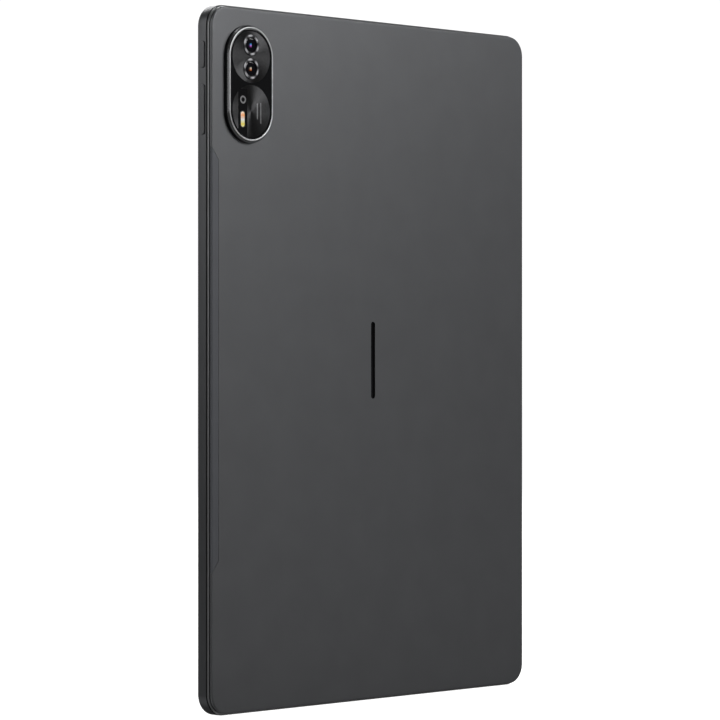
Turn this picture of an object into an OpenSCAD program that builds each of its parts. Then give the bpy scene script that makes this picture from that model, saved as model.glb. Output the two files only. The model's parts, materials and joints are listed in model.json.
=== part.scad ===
// Tablet computer: a thin portrait slab with a raised pill-shaped rear camera island.
// Millimetres. +Z runs up the long edge, +Y points out of the rear cover, and the
// screen faces -Y. The origin is the centre of the rear cover's outer face.
// Every module is drawn in a flat working frame, [across, up, depth], where depth is
// the distance from the rear cover's outer face towards the screen. upright() stands it up.

/* [Body] */
// Width of the tablet
body_w = 170; // [166:0.5:176]
// Height of the tablet, held in portrait
body_h = 256; // [252:0.5:262]
// Thickness from the rear cover to the screen glass
body_t = 7.0; // [7.0:0.1:7.6]
// Outer corner radius
corner_r = 8; // [7.5:0.1:9]
// Depth at which the flat of the side wall starts
flat_start = 2.5; // [2.45:0.05:2.65]

/* [Rear cover] */
// Thickness of the rear cover's panel
panel_t = 0.6; // [0.5:0.05:0.6]
// How far the antenna strip reaches inwards from the key-side edge
strip_w = 3.85; // [3.2:0.05:4]
// Half length of the antenna strip, where it is full width
strip_half = 72; // [66:0.5:72]
// Length over which each end of the antenna strip tapers out
strip_run = 4.5; // [3.5:0.1:4.5]

/* [Camera island] */
// Distance of the island's centre line from the key-side edge
island_from_edge = 18.3; // [18:0.1:19.5]
// Height of the island's middle above the middle of the body
island_z = 99.9; // [94:0.05:100]
// Half distance between the centres of its two round ends
island_half = 9.75; // [9.6:0.05:10]
// Radius of the island's skirt
island_r = 11.65; // [11.6:0.05:12]
// How far the island stands out of the rear cover
island_h = 2.1; // [2.0:0.05:2.3]
// Outer radius of a lens ring
ring_r = 4.0; // [3.8:0.05:4.1]
// Distance between the two lens centres
lens_pitch = 8.6; // [8.5:0.05:9]

/* [Keys] */
// Length of the power key
power_len = 9.5; // [8:0.1:10]
// Height of the power key's centre above the middle
power_z = 109.8; // [109:0.1:111]
// Length of the volume rocker
rocker_len = 18; // [16:0.5:19]
// Height of the volume rocker's centre above the middle
rocker_z = 90.1; // [89:0.1:91]
// Width of both keys
key_w = 1.8; // [1.5:0.05:1.9]
// How far the keys stand out of the side wall
key_proud = 0.42; // [0.3:0.02:0.6]

/* [Card tray] */
// Height of the tray's centre above the middle
tray_z = 97; // [96:0.5:98]
// Length of the tray's door
door_len = 16; // [15.5:0.1:17]
// How far the tray reaches into the body
tray_reach = 22; // [21:0.5:23]

/* [Ports] */
// Depth of the centre line of the port and the speaker grilles
port_depth = 4.45; // [4.4:0.01:4.45]
// Distance of each speaker's centre from the middle
speaker_x = 42; // [40:0.5:44]
// Holes in each speaker grille
grille_holes = 8; // [6:1:9]

/* [Display] */
// Thickness of the cover glass
glass_t = 0.7; // [0.6:0.05:0.7]
// Width of the panel under the glass
lcd_w = 151; // [148:0.5:152]
// Height of the panel under the glass
lcd_h = 240.4; // [236:0.1:240.4]

/* [Hidden] */
$fn = 64;

// ---- Depths of the layers, from the rear face to the screen ----
rim_foot = 1.18;              // foot of the rear cover's rim, on its gasket
ring_top = 1.48;              // rear face of the chamfer ring
ring_lip = 2.1;               // foot of the chamfer ring's lip, over the groove
frame_top = 1.8;              // rear face of the side frame
step_depth = 3.9;             // where the side frame thickens for the display
plate_top = 3.95;             // rear face of the midframe plate
plate_t = 0.5;
glass_back = body_t - glass_t;
glue_t = 0.1;
ledge_depth = glass_back - glue_t;
board_top = 2.1;              // rear face of both boards
board_t = 0.7;
board_front = board_top + board_t;
lcd_back = 5.45;
backlight_back = 4.5;

// ---- Distances inwards from the outline ----
neck_inset = 0.35;
wall_inset = 2.0;             // inner face of the wall beside the boards
ledge_inset = 3.2;            // inner face of the wall beside the display
glass_inset = 0.85;
glass_gap = 0.1;
groove_w = 0.14;              // groove round the antenna strip
eps = 0.5;                    // how far a cut runs past the wall that it opens

edge_x = body_w / 2;
edge_z = body_h / 2;
island_x = edge_x - island_from_edge;

// ---- Plain bar inlaid in the rear cover ----
emblem_x = 1.1;
emblem_r = 1.1;
emblem_half = 13.4;
emblem_t = 0.15;
emblem_sink = 0.02;           // how far it lies below the cover's face

// ---- Camera island ----
skirt_t = 1.35;               // height of the black skirt above the cover
window_back = 1.15;           // height of the window's inner face
window_front = 1.92;          // height of the window's outer face
window_r = 10.25;
window_gap = 0.03;            // clearance round what passes through the cover and window
lens_z = island_z + island_half;
tube_r = 3.5;                 // lens ring's tube, through the window
lens_r = 2.7;
flash_x = edge_x - 14.05;
flash_z = island_z - 12.95;
flash_r = 1.2;
flash_half = 1.83;

// ---- Keys, all on the +X wall ----
key_depth = 4.05;
key_gap = 0.12;               // clearance round a key in its slot
key_wall = 1.4;               // thickness of the wall behind the slots
flange_in = 1.75;             // inset of the flange that keeps a key in
flange_t = 0.25;
stem_tip = 2.2;               // inset of the plungers' tips
dome_top = 2.5;               // inset of the domes' tops: the keys travel 0.25
flex_top = 2.72;
bracket_top = 2.84;
bracket_t = 0.3;
key_bay_z = 98;               // middle of the bay behind the keys
key_bay_len = 38;
key_bay_w = 3.4;
rocker_stem_z = 6.5;

// ---- Card tray, on the -X wall ----
door_depth = 3.85;
door_w = 2.1;
door_t = 1.0;
door_gap = 0.1;
tray_top = 3.0;               // rear face of the tray's plate
tray_t = 0.7;
tray_w = 13.4;
neck_h = 0.15;                // clearance round the tray's neck in the wall
card_w = 11.2;
card_l = 15.2;
cage_t = 0.12;
pin_z = tray_z - door_len / 2 - 3.5;
pin_r = 0.5;

// ---- Ports ----
usb_w = 8.94;
usb_h = 3.16;
usb_len = 7.3;
shell_t = 0.22;
grille_r = 0.55;
grille_pitch = 2.0;
grille_l = 1.2;               // length of the grille's holes, in from the end face
mic_r = 0.45;
mic_depth = 3.35;
mic_spots = [[12, -1], [-6, 1]];   // [across, which end]
duct_w = 17;

// ---- Speakers, inside ----
speaker_w = 34;
speaker_h = 14.6;
speaker_in = 11.3;            // centre of a speaker box, in from the end of the body
speaker_top = 1.0;
speaker_front = 3.88;

// ---- Battery ----
cell_w = 73;
cell_h = 154;
cell_x = 39.9;
cell_z = -12;
cell_top = 0.95;
cell_front = 3.72;
bms_z = cell_z + cell_h / 2 + 6;

// ---- Boards ----
main_board_x = -3.4;
main_board_z = 96.5;
board_h = 24;
port_board_z = -edge_z + 15.4;
chip_z = 97;
chip_t = 0.8;
can_z = 96.4;
can_h = 16;
flex_t = 0.1;
display_flex_x = 19;

// ---- Front camera and light sensor, in the key-side bezel ----
selfie_x = edge_x - 6;
sensor_z = 9;

// ---- Screws ----
board_screw_spots = [[-55, 86.5], [-55, 106.5], [-5, 106.5], [48, 86.5], [48, 106.5]];
port_screw_spots = [[-17, -106], [17, -106]];
screw_spots = concat(board_screw_spots, port_screw_spots);
boss_r = 1.7;
shank_r = 0.5;
shank_gap = 0.05;

// =============================== helpers ===============================

// Stands the flat working frame up, so that depth runs towards the screen.
module upright() rotate([90, 0, 0]) children();

// An outline between two depths.
module slab(from, to) translate([0, 0, from]) linear_extrude(to - from) children();

// A block given by its middle, its size across and up, and its two depths.
module block(x, z, w, h, from, to)
    slab(from, to) translate([x, z]) square([w, h], center = true);

// A round post or hole between two depths.
module post(x, z, r, from, to)
    translate([x, z, from]) cylinder(h = to - from, r = r);

// A rectangle with round corners.
module rounded(w, h, r) {
    square([w - 2 * r, h], center = true);
    square([w, h - 2 * r], center = true);
    for (sx = [-1, 1], sz = [-1, 1])
        translate([sx * (w / 2 - r), sz * (h / 2 - r)]) circle(r);
}

// The body's outline, moved inwards.
module outline(inset)
    rounded(body_w - 2 * inset, body_h - 2 * inset, corner_r - inset);

// An upright pill: two round ends joined by a straight part.
module pill(r, half) {
    for (s = [-1, 1]) translate([0, s * half]) circle(r);
    square([2 * r, 2 * half], center = true);
}

// Sweeps a section of [inset, depth] points round the body's outline.
module sweep(section)
    for (k = [0 : 3]) {
        across = k % 2 == 0 ? body_w : body_h;
        along = k % 2 == 0 ? body_h : body_w;
        rotate([0, 0, 90 * k]) {
            rotate([90, 0, 0]) linear_extrude(along - 2 * corner_r, center = true)
                polygon([for (p = section) [across / 2 - p[0], p[1]]]);
            translate([across / 2 - corner_r, along / 2 - corner_r, 0])
                rotate_extrude(angle = 90)
                    polygon([for (p = section) [corner_r - p[0], p[1]]]);
        }
    }

// Sweeps a section of [radius, depth] points round the island's pill.
module pill_sweep(section)
    translate([island_x, island_z, 0]) for (s = [0, 1]) rotate([0, 0, 180 * s]) {
        translate([0, island_half, 0]) rotate_extrude(angle = 180) polygon(section);
        rotate([90, 0, 0]) linear_extrude(2 * island_half, center = true) polygon(section);
    }

// A pill lying in a side wall, drawn between two insets from the +X or the -X edge.
module wall_pill(side, z, depth, w, len, from, to)
    translate([side * edge_x, z, depth]) rotate([0, -90 * side, 0]) slab(from, to)
        pill(w / 2, (len - w) / 2);

// A box in a side wall, drawn between two insets from the +X or the -X edge.
module wall_box(side, z, len, from, to, depth_from, depth_to)
    block(side * (edge_x - (from + to) / 2), z, to - from, len, depth_from, depth_to);

// =============================== housing ===============================

module grille(sx, sz) for (i = [0 : grille_holes - 1])
    translate([sx * speaker_x + (i - (grille_holes - 1) / 2) * grille_pitch,
               sz * (edge_z - grille_l), port_depth])
        rotate([-90 * sz, 0, 0]) translate([0, 0, -eps])
            cylinder(h = grille_l + 2 * eps, r = grille_r);

module duct(sx, sz)
    block(sx * speaker_x, sz * (edge_z - 2.6), duct_w, 2.4, 2.3, port_depth + 1);

module mic_hole(spot)
    translate([spot[0], spot[1] * (edge_z - 3), mic_depth])
        rotate([-90 * spot[1], 0, 0]) cylinder(h = 3 + eps, r = mic_r);

module usb_hole(grow)
    translate([0, -edge_z - eps, port_depth]) rotate([-90, 0, 0])
        linear_extrude(usb_len + eps) rotate(90) pill(usb_h / 2 + grow, (usb_w - usb_h) / 2);

module side_frame() color("dimgray") difference() {
    sweep([
        [0.3, body_t - 0.12], [0, body_t - 0.42], [0, flat_start],
        [neck_inset, flat_start], [neck_inset, frame_top], [wall_inset, frame_top],
        [wall_inset, step_depth], [ledge_inset, step_depth], [ledge_inset, ledge_depth],
        [glass_inset - glass_gap, ledge_depth], [glass_inset - glass_gap, body_t - 0.12]
    ]);
    for (sx = [-1, 1], sz = [-1, 1]) {
        grille(sx, sz);
        duct(sx, sz);
    }
    for (spot = mic_spots) mic_hole(spot);
    usb_hole(0.05);
    wall_pill(1, power_z, key_depth, key_w + 2 * key_gap, power_len + 2 * key_gap, -eps, 2);
    wall_pill(1, rocker_z, key_depth, key_w + 2 * key_gap, rocker_len + 2 * key_gap, -eps, 2);
    wall_box(1, key_bay_z, key_bay_len, key_wall, ledge_inset + eps,
             key_depth - key_bay_w / 2, key_depth + key_bay_w / 2);
    wall_pill(-1, tray_z, door_depth, door_w + 2 * door_gap, door_len + 2 * door_gap,
              -eps, door_t + 0.1);
    wall_box(-1, tray_z, tray_w + 2 * neck_h, door_t, ledge_inset + eps,
             tray_top - neck_h, tray_top + tray_t + neck_h);
    translate([-edge_x - eps, pin_z, tray_top + tray_t / 2]) rotate([0, 90, 0])
        cylinder(h = ledge_inset + 2 * eps, r = pin_r);
}

module chamfer_ring() color("silver") sweep([
    [0.05, ring_lip], [0.5, ring_top], [1.95, ring_top], [1.95, frame_top],
    [neck_inset - 0.01, frame_top], [neck_inset - 0.01, ring_lip]
]);

// The rear cover with its antenna strip still in one piece.
module cover_body() {
    slab(0, panel_t) outline(2.3);
    sweep([
        [0.65, rim_foot], [0.65, 0.65], [0.7, 0.38], [0.82, 0.16], [1.0, 0.03],
        [1.2, 0], [2.5, 0], [2.5, panel_t], [wall_inset, panel_t], [wall_inset, rim_foot]
    ]);
}

// The strip's outline on the key side, grown or shrunk by a margin.
module strip_outline(grow) polygon([
    [edge_x - strip_w - grow, strip_half + grow / 2],
    [edge_x, strip_half + strip_run * 1.15 + grow], [edge_x, -strip_half - strip_run * 1.15 - grow],
    [edge_x - strip_w - grow, -strip_half - grow / 2]
]);

module rear_cover() color("slategray") difference() {
    cover_body();
    slab(-eps, rim_foot + eps) strip_outline(groove_w / 2);
    slab(-eps, rim_foot + eps) translate([island_x, island_z]) pill(island_r + window_gap, island_half);
    slab(-eps, emblem_t) translate([emblem_x, 0]) pill(emblem_r, emblem_half);
}

module antenna_strip() color("gray") intersection() {
    cover_body();
    slab(-eps, rim_foot + eps) strip_outline(-groove_w / 2);
}

module rear_emblem() color("silver") slab(emblem_sink, emblem_t)
    translate([emblem_x, 0]) pill(emblem_r - emblem_sink, emblem_half);

module cover_gasket() color("black") sweep([
    [0.8, rim_foot], [1.95, rim_foot], [1.95, ring_top], [0.8, ring_top]
]);

// ============================= camera island =============================

module camera_skirt() color("black") pill_sweep([
    [9.4, 1.0], [island_r + 1.1, 1.0], [island_r + 1.1, panel_t + 0.02],
    [island_r, panel_t + 0.02], [island_r, -0.1], [island_r - 0.12, -skirt_t],
    [window_r + 0.07, -skirt_t], [window_r + 0.07, -window_back], [9.4, -window_back]
]);

module camera_bezel() color("silver") pill_sweep([
    [island_r - 0.13, -skirt_t], [island_r - 0.2, -skirt_t - 0.1],
    [island_r - 0.76, -island_h + 0.04], [island_r - 0.84, -island_h],
    [window_r + 0.16, -island_h], [window_r + 0.07, -island_h + 0.08],
    [window_r + 0.07, -skirt_t]
]);

module camera_window() color("black") difference() {
    union() {
        slab(-window_front + 0.1, -window_back) translate([island_x, island_z])
            pill(window_r, island_half);
        slab(-window_front, -window_back) translate([island_x, island_z])
            pill(window_r - 0.12, island_half);
    }
    for (s = [-1, 1])
        post(island_x, lens_z + s * lens_pitch / 2, tube_r + window_gap, -island_h, 0);
    slab(-island_h, 0) translate([flash_x, flash_z]) pill(flash_r + window_gap, flash_half);
}

// A ring with a sloped flange that stands on the window and a tube that passes through it.
module lens_ring(s) color("dimgray") translate([island_x, lens_z + s * lens_pitch / 2, 0])
    rotate_extrude() polygon([
        [lens_r + 0.02, -0.9], [lens_r + 0.02, -island_h + 0.12], [lens_r + 0.2, -island_h],
        [ring_r - 0.25, -island_h], [ring_r, -window_front - 0.04], [ring_r, -window_front],
        [tube_r, -window_front], [tube_r, -0.9]
    ]);
module lens_ring_upper() lens_ring(1);
module lens_ring_lower() lens_ring(-1);

// A round lens window with a slightly domed face.
module lens_glass(s) color("midnightblue") translate([island_x, lens_z + s * lens_pitch / 2, 0])
    rotate_extrude() polygon([
        [0, -1.1], [lens_r, -1.1], [lens_r, -1.6], [lens_r * 0.8, -1.68],
        [lens_r * 0.5, -1.74], [0, -1.76]
    ]);
module lens_glass_upper() lens_glass(1);
module lens_glass_lower() lens_glass(-1);

module flash_lens() color("ivory") slab(-window_front, -window_back)
    translate([flash_x, flash_z]) pill(flash_r, flash_half);

// A camera module: a square base with a round barrel that looks out of the rear.
module rear_camera(s, base, barrel_r) color("darkslategray") {
    z = lens_z + s * lens_pitch / 2;
    block(island_x, z, base, base, 0.4, 3.85);
    post(island_x, z, barrel_r, -0.85, 0.5);
}
module rear_camera_main() rear_camera(1, 8.0, 3.2);
module rear_camera_depth() rear_camera(-1, 7.6, 2.6);

module camera_bracket() color("silver") difference() {
    block(island_x, lens_z, 12.4, 20, 1.2, 1.5);
    for (s = [-1, 1])
        block(island_x, lens_z + s * lens_pitch / 2, 8.5, 8.55, 1, 2);
    block(island_x, lens_z, 8.5, 2, 1, 2);
}

module flash_board() color("darkgreen") {
    block(flash_x, flash_z, 4.2, 6.6, 0.1, 0.5);
    for (s = [-1, 0, 1]) block(flash_x, flash_z + s * 1.7, 1.5, 1.3, -0.6, 0.1);
}

// ================================= keys =================================

// The visible cap of a key and the flange that keeps it in the wall.
module key_cap(z, len) {
    wall_pill(1, z, key_depth, key_w - 0.24, len - 0.24, -key_proud, -key_proud + 0.12);
    wall_pill(1, z, key_depth, key_w, len, -key_proud + 0.12, flange_in + flange_t / 2);
    wall_box(1, z, len + 1.4, flange_in, flange_in + flange_t,
             key_depth - key_w / 2, key_depth + key_w / 2);
}

module plunger(z) wall_pill(1, z, key_depth, 1.3, 1.9, flange_in, stem_tip);

module power_key() color("dimgray") {
    key_cap(power_z, power_len);
    plunger(power_z);
}

module volume_rocker() color("dimgray") {
    key_cap(rocker_z, rocker_len);
    for (s = [-1, 1]) plunger(rocker_z + s * rocker_stem_z);
}

dome_spots = [power_z, rocker_z - rocker_stem_z, rocker_z + rocker_stem_z];

module dome_switches() color("goldenrod") for (z = dome_spots) {
    translate([edge_x, z, key_depth]) rotate([0, -90, 0]) {
        translate([0, 0, dome_top + 0.1]) cylinder(h = flex_top - dome_top - 0.1, r = 1.3);
        translate([0, 0, dome_top]) cylinder(h = 0.15, r = 0.75);
    }
}

module key_flex() color("saddlebrown") {
    wall_box(1, key_bay_z, key_bay_len - 5, flex_top, bracket_top, key_depth - 1.35, key_depth + 1.35);
    block(edge_x - 6.3, 84, 7, 2.6, 3.78, 3.88);
    wall_box(1, 84, 2.6, flex_top + 0.02, bracket_top, 3.0, 3.88);
}

module key_bracket() color("silver") {
    for (rail = [[-1.4, -0.4], [0.5, 1.4]])
        wall_box(1, key_bay_z, key_bay_len - 3, bracket_top, bracket_top + bracket_t,
                 key_depth + rail[0], key_depth + rail[1]);
    for (s = [-1, 0, 1])
        wall_box(1, key_bay_z + s * 16.4, 2, bracket_top, bracket_top + bracket_t,
                 key_depth - 0.5, key_depth + 0.6);
}

// =============================== card tray ===============================

module card_tray() color("dimgray") {
    wall_pill(-1, tray_z, door_depth, door_w, door_len, 0, door_t);
    difference() {
        wall_box(-1, tray_z, tray_w, door_t / 2, tray_reach, tray_top, tray_top + tray_t);
        wall_box(-1, tray_z, card_w, 4.6, 4.6 + card_l, tray_top - eps, tray_top + tray_t - 0.2);
        wall_box(-1, tray_z, card_w - 2, 5.6, 3.6 + card_l, tray_top - eps, body_t);
    }
}

module tray_seal() color("black") difference() {
    wall_box(-1, tray_z, tray_w + 0.2, door_t + 0.25, door_t + 0.75,
             tray_top - 0.1, tray_top + tray_t + 0.1);
    wall_box(-1, tray_z, tray_w, 0, ledge_inset, tray_top, tray_top + tray_t);
}

module card_reader() color("silver") difference() {
    wall_box(-1, tray_z, tray_w + 1, 3.7, tray_reach + 1.4, tray_top - 0.32, 3.93);
    wall_box(-1, tray_z, tray_w + 1 - 2 * cage_t, 3, tray_reach + 1.2,
             tray_top - 0.32 + cage_t, 3.93 - cage_t);
}

// ================================= ports =================================

module usb_c_shell() color("silver") difference() {
    translate([0, -edge_z + 0.25, port_depth]) rotate([-90, 0, 0]) linear_extrude(usb_len)
        rotate(90) pill(usb_h / 2, (usb_w - usb_h) / 2);
    translate([0, -edge_z, port_depth]) rotate([-90, 0, 0]) linear_extrude(usb_len - 0.6)
        rotate(90) pill(usb_h / 2 - shell_t, (usb_w - usb_h) / 2);
}

module usb_c_tongue() color("black") {
    block(0, -edge_z + 4.1, 6.5, 5.2, port_depth - 0.35, port_depth + 0.35);
    block(0, -edge_z + 6.2, 6.9, 1.0, port_depth - 1.1, port_depth + 1.1);
}

module port_board() color("darkgreen") difference() {
    block(0, port_board_z, 44, board_h, board_top, board_front);
    for (spot = port_screw_spots) post(spot[0], spot[1], shank_r + shank_gap, 0, body_t);
}

module microphones() color("gold") for (spot = mic_spots)
    block(spot[0], spot[1] * (edge_z - 3.4), 3.4, 2.6, board_front + 0.02, board_front + 1.05);

// A sealed speaker box with its driver's cone towards the rear.
module speaker(sx, sz) color("black") difference() {
    union() {
        block(sx * speaker_x, sz * (edge_z - speaker_in), speaker_w, speaker_h,
              speaker_top, speaker_front);
        block(sx * speaker_x, sz * (edge_z - 3.95), duct_w - 1, 0.6, 2.4, speaker_front);
    }
    post(sx * (speaker_x - 8), sz * (edge_z - speaker_in), 5.5, 0.8, speaker_top + 0.3);
    block(sx * (speaker_x + 6), sz * (edge_z - speaker_in), 12, 9, 0.8, speaker_top + 0.15);
}
module speaker_top_key_side() speaker(1, 1);
module speaker_top_tray_side() speaker(-1, 1);
module speaker_bottom_key_side() speaker(1, -1);
module speaker_bottom_tray_side() speaker(-1, -1);

module speaker_meshes() color("dimgray") for (sx = [-1, 1], sz = [-1, 1])
    block(sx * speaker_x, sz * (edge_z - 1.55), duct_w - 0.2, 0.15, 3.5, 5.4);

// ================================ display ================================

module screen_glass() color("black") {
    slab(glass_back, body_t) outline(1.4);
    sweep([
        [glass_inset, glass_back], [glass_inset, body_t - 0.3], [glass_inset + 0.14, body_t - 0.1],
        [glass_inset + 0.4, body_t], [1.8, body_t], [1.8, glass_back]
    ]);
}

module screen_adhesive() color("black") sweep([
    [1.0, ledge_depth], [ledge_inset, ledge_depth], [ledge_inset, glass_back], [1.0, glass_back]
]);

module lcd_panel() color("navy") block(0, 0, lcd_w, lcd_h, lcd_back, glass_back);

module backlight_unit() color("white")
    block(0, 0, lcd_w, lcd_h, backlight_back, lcd_back);

module display_flex() color("saddlebrown") {
    fold_z = -lcd_h / 2 - 0.4;
    block(display_flex_x, fold_z, 10, flex_t, board_front + 0.5, 6.0);
    block(display_flex_x, fold_z + 0.225, 10, 0.35, 6.0 - flex_t, 6.0);
    block(display_flex_x, fold_z + 4, 10, 8.1, board_front + 0.5, board_front + 0.5 + flex_t);
    block(display_flex_x, fold_z + 6, 9, 2.2, board_front, board_front + 0.5);
}

module front_camera() color("black") {
    block(selfie_x, 0, 4.6, 4.6, 2.8, 5.2);
    post(selfie_x, 0, 1.7, 5.2, 6.2);
}

module light_sensor() color("dimgray") {
    block(selfie_x, sensor_z, 2.4, 2.8, 5.3, 6.2);
    block(selfie_x, sensor_z, 3.2, 4.4, 5.1, 5.3);
}

module midframe_plate() color("lightgray") difference() {
    union() {
        slab(plate_top, plate_top + plate_t) outline(ledge_inset + 0.15);
        for (spot = screw_spots) post(spot[0], spot[1], boss_r, board_front, plate_top + plate_t / 2);
    }
    for (spot = screw_spots) post(spot[0], spot[1], shank_r + shank_gap, 0, plate_top + plate_t - 0.1);
    block(0, -edge_z + 4.5, usb_w + 1, 8, 0, body_t);
    block(display_flex_x, -lcd_h / 2 - 0.2, 11, 1.4, 0, body_t);
    block(selfie_x + 0.6, sensor_z / 2, 6.6, 18, 0, body_t);
}

// ============================ battery and boards ============================

module battery_cell(sx) color("gray") {
    block(sx * cell_x, cell_z, cell_w, cell_h, cell_top, cell_front);
    block(sx * cell_x, cell_z + cell_h / 2 + 1.5, cell_w - 6, 3, 1.2, 2.6);
}
module battery_cell_key_side() battery_cell(1);
module battery_cell_tray_side() battery_cell(-1);

module battery_tape() color("white") for (sx = [-1, 1], t = [-1, 1])
    block(sx * cell_x + t * 22, cell_z, 20, cell_h - 8, cell_front, cell_front + 0.2);

module battery_board() color("darkgreen") {
    block(0, bms_z, 120, 5, 2.2, 2.8);
    block(8, bms_z + 5, 9, 5.2, 1.9, 2.08);
}

module main_board() color("darkgreen") difference() {
    block(main_board_x, main_board_z, 112, board_h, board_top, board_front);
    for (spot = board_screw_spots) post(spot[0], spot[1], shank_r + shank_gap, 0, body_t);
    block(main_board_x - 54, main_board_z, 8, 12, 0, body_t);
}

module processor() color("dimgray") block(-18, chip_z, 14, 14, board_front, board_front + chip_t);

module memory_chips() color("dimgray") for (x = [0.5, 15])
    block(x, chip_z, 11.5, 13, board_front, board_front + chip_t);

module power_chips() color("dimgray") for (i = [0 : 3])
    block(-36 + i * 9, 94.5, 6, 6, board_top - 0.7, board_top);

// A pressed-steel can open towards the board.
module can(x, w, from, to, open_from, open_to) color("silver") difference() {
    block(x, can_z, w, can_h, from, to);
    block(x, can_z, w - 0.4, can_h - 0.4, open_from, open_to);
}
module front_shield() can(-1, 52, board_front, 3.88, board_front - eps, 3.76);
module rear_shield() can(-22.5, 44, 1.2, board_top, 1.32, board_top + eps);

module board_connectors() color("ivory") {
    for (x = [10, 22, 34]) block(x, 91.5, 7, 2.2, board_top - 0.75, board_top);
    block(-3, -edge_z + 24, 8, 2, board_top - 0.75, board_top);
}

module graphite_sheet() color("black") block(-8, 96, 88, 21, panel_t + 0.05, panel_t + 0.13);

module board_screws() color("silver") for (spot = screw_spots) {
    difference() {
        post(spot[0], spot[1], 1.15, board_top - 0.45, board_top);
        for (a = [0, 90]) translate([spot[0], spot[1], board_top - 0.45]) rotate(a)
            cube([1.3, 0.35, 0.4], center = true);
    }
    post(spot[0], spot[1], shank_r, board_top, board_top + 1.9);
}

module main_flex() color("saddlebrown") block(0, -8, 5, 185, 3.6, 3.6 + flex_t);

// =============================== antennas ===============================

module side_antenna() color("goldenrod")
    wall_box(1, 0, 2 * strip_half - 8, 2.15, strip_w - 0.35, panel_t + 0.03, panel_t + 0.13);

module end_antennas() color("goldenrod") for (sx = [-1, 1], sz = [-1, 1])
    block(sx * (speaker_x + 6), sz * (edge_z - speaker_in), 11, 8, 0.95, speaker_top + 0.14);

// ================================ drawing ================================

upright() side_frame();
upright() chamfer_ring();
upright() rear_cover();
upright() cover_gasket();
upright() antenna_strip();
upright() rear_emblem();
upright() camera_skirt();
upright() camera_bezel();
upright() camera_window();
upright() lens_ring_upper();
upright() lens_ring_lower();
upright() lens_glass_upper();
upright() lens_glass_lower();
upright() flash_lens();
upright() power_key();
upright() volume_rocker();
upright() dome_switches();
upright() key_flex();
upright() key_bracket();
upright() card_tray();
upright() tray_seal();
upright() card_reader();
upright() usb_c_shell();
upright() usb_c_tongue();
upright() screen_glass();
upright() screen_adhesive();
upright() lcd_panel();
upright() backlight_unit();
upright() display_flex();
upright() front_camera();
upright() light_sensor();
upright() midframe_plate();
upright() battery_cell_key_side();
upright() battery_cell_tray_side();
upright() battery_tape();
upright() battery_board();
upright() main_board();
upright() processor();
upright() memory_chips();
upright() power_chips();
upright() front_shield();
upright() rear_shield();
upright() board_connectors();
upright() graphite_sheet();
upright() board_screws();
upright() port_board();
upright() main_flex();
upright() microphones();
upright() speaker_top_key_side();
upright() speaker_top_tray_side();
upright() speaker_bottom_key_side();
upright() speaker_bottom_tray_side();
upright() speaker_meshes();
upright() rear_camera_main();
upright() rear_camera_depth();
upright() camera_bracket();
upright() flash_board();
upright() side_antenna();
upright() end_antennas();
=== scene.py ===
import json
import math

import bmesh
import bpy
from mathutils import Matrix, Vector


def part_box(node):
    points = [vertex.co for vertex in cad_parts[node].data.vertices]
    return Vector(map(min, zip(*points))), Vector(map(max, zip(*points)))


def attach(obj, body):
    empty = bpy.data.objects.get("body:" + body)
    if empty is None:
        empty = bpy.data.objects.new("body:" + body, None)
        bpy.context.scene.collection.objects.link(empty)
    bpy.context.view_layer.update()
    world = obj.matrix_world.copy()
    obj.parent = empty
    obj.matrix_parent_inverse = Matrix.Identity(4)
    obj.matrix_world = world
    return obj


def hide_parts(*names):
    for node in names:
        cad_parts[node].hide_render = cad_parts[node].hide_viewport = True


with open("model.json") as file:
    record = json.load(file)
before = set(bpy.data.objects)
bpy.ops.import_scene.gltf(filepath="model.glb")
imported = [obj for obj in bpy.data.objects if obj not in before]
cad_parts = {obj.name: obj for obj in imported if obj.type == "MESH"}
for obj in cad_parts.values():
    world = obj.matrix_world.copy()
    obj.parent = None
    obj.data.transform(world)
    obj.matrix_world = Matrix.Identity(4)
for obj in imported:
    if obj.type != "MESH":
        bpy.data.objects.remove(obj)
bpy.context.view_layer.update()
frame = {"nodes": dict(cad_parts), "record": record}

MM = 0.001
scene = bpy.context.scene
scene.view_settings.view_transform = "Standard"

# ------------------------------------------------------------------ sizes, mm
# Taken from the frame. y is 0 on the rear cover, positive out of it.


def box_mm(node):
    """Lowest and highest corner of a CAD node, in millimetres."""
    lo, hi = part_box(node)
    return Vector(lo) / MM, Vector(hi) / MM


def middle(node):
    lo, hi = box_mm(node)
    return (lo + hi) / 2


frame_lo, frame_hi = box_mm("side_frame")
EDGE_X, EDGE_Z = frame_hi.x, frame_hi.z
CORNER_R = 8.0
GLASS_Y = box_mm("screen_glass")[0].y
FLAT_START = -2.5             # where the frame's wall ends, under the bright ring
FRAME_TOP = -1.8
RING_LO, RING_HI = (corner.y for corner in box_mm("chamfer_ring"))
RIM_FOOT = box_mm("rear_cover")[0].y
WINDOW_LO, WINDOW_HI = box_mm("camera_window")
ISLAND = middle("camera_window")
BEZEL_LO, BEZEL_HI = box_mm("camera_bezel")
ISLAND_TOP = BEZEL_HI.y
WINDOW_R = (WINDOW_HI.x - WINDOW_LO.x) / 2
ISLAND_HALF = (WINDOW_HI.z - WINDOW_LO.z) / 2 - WINDOW_R
SKIRT_R = WINDOW_R + 1.4
LENSES = {s: middle("lens_ring_" + s) for s in ("upper", "lower")}
LENS_R = (box_mm("lens_glass_upper")[1].x - box_mm("lens_glass_upper")[0].x) / 2
LENS_BORE = 3.53              # radius of the window's two holes
FLASH = middle("flash_lens")
STRIP_LO = box_mm("antenna_strip")[0]
STRAIGHT = 72.0               # half length of the antenna strip where it is full width
STRIP_GAP = 0.07              # between the strip and the cover, on each side of the joint line
KEYS = ("power_key", "volume_rocker")
KEY_FLANGE = 1.4              # how much longer a key's flange is than its cap
ARC = 28                      # steps in each quarter turn of the body's corners
FINE = 96                     # steps round a lens
WELD = 1e-7                   # metres within which points are merged
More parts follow.
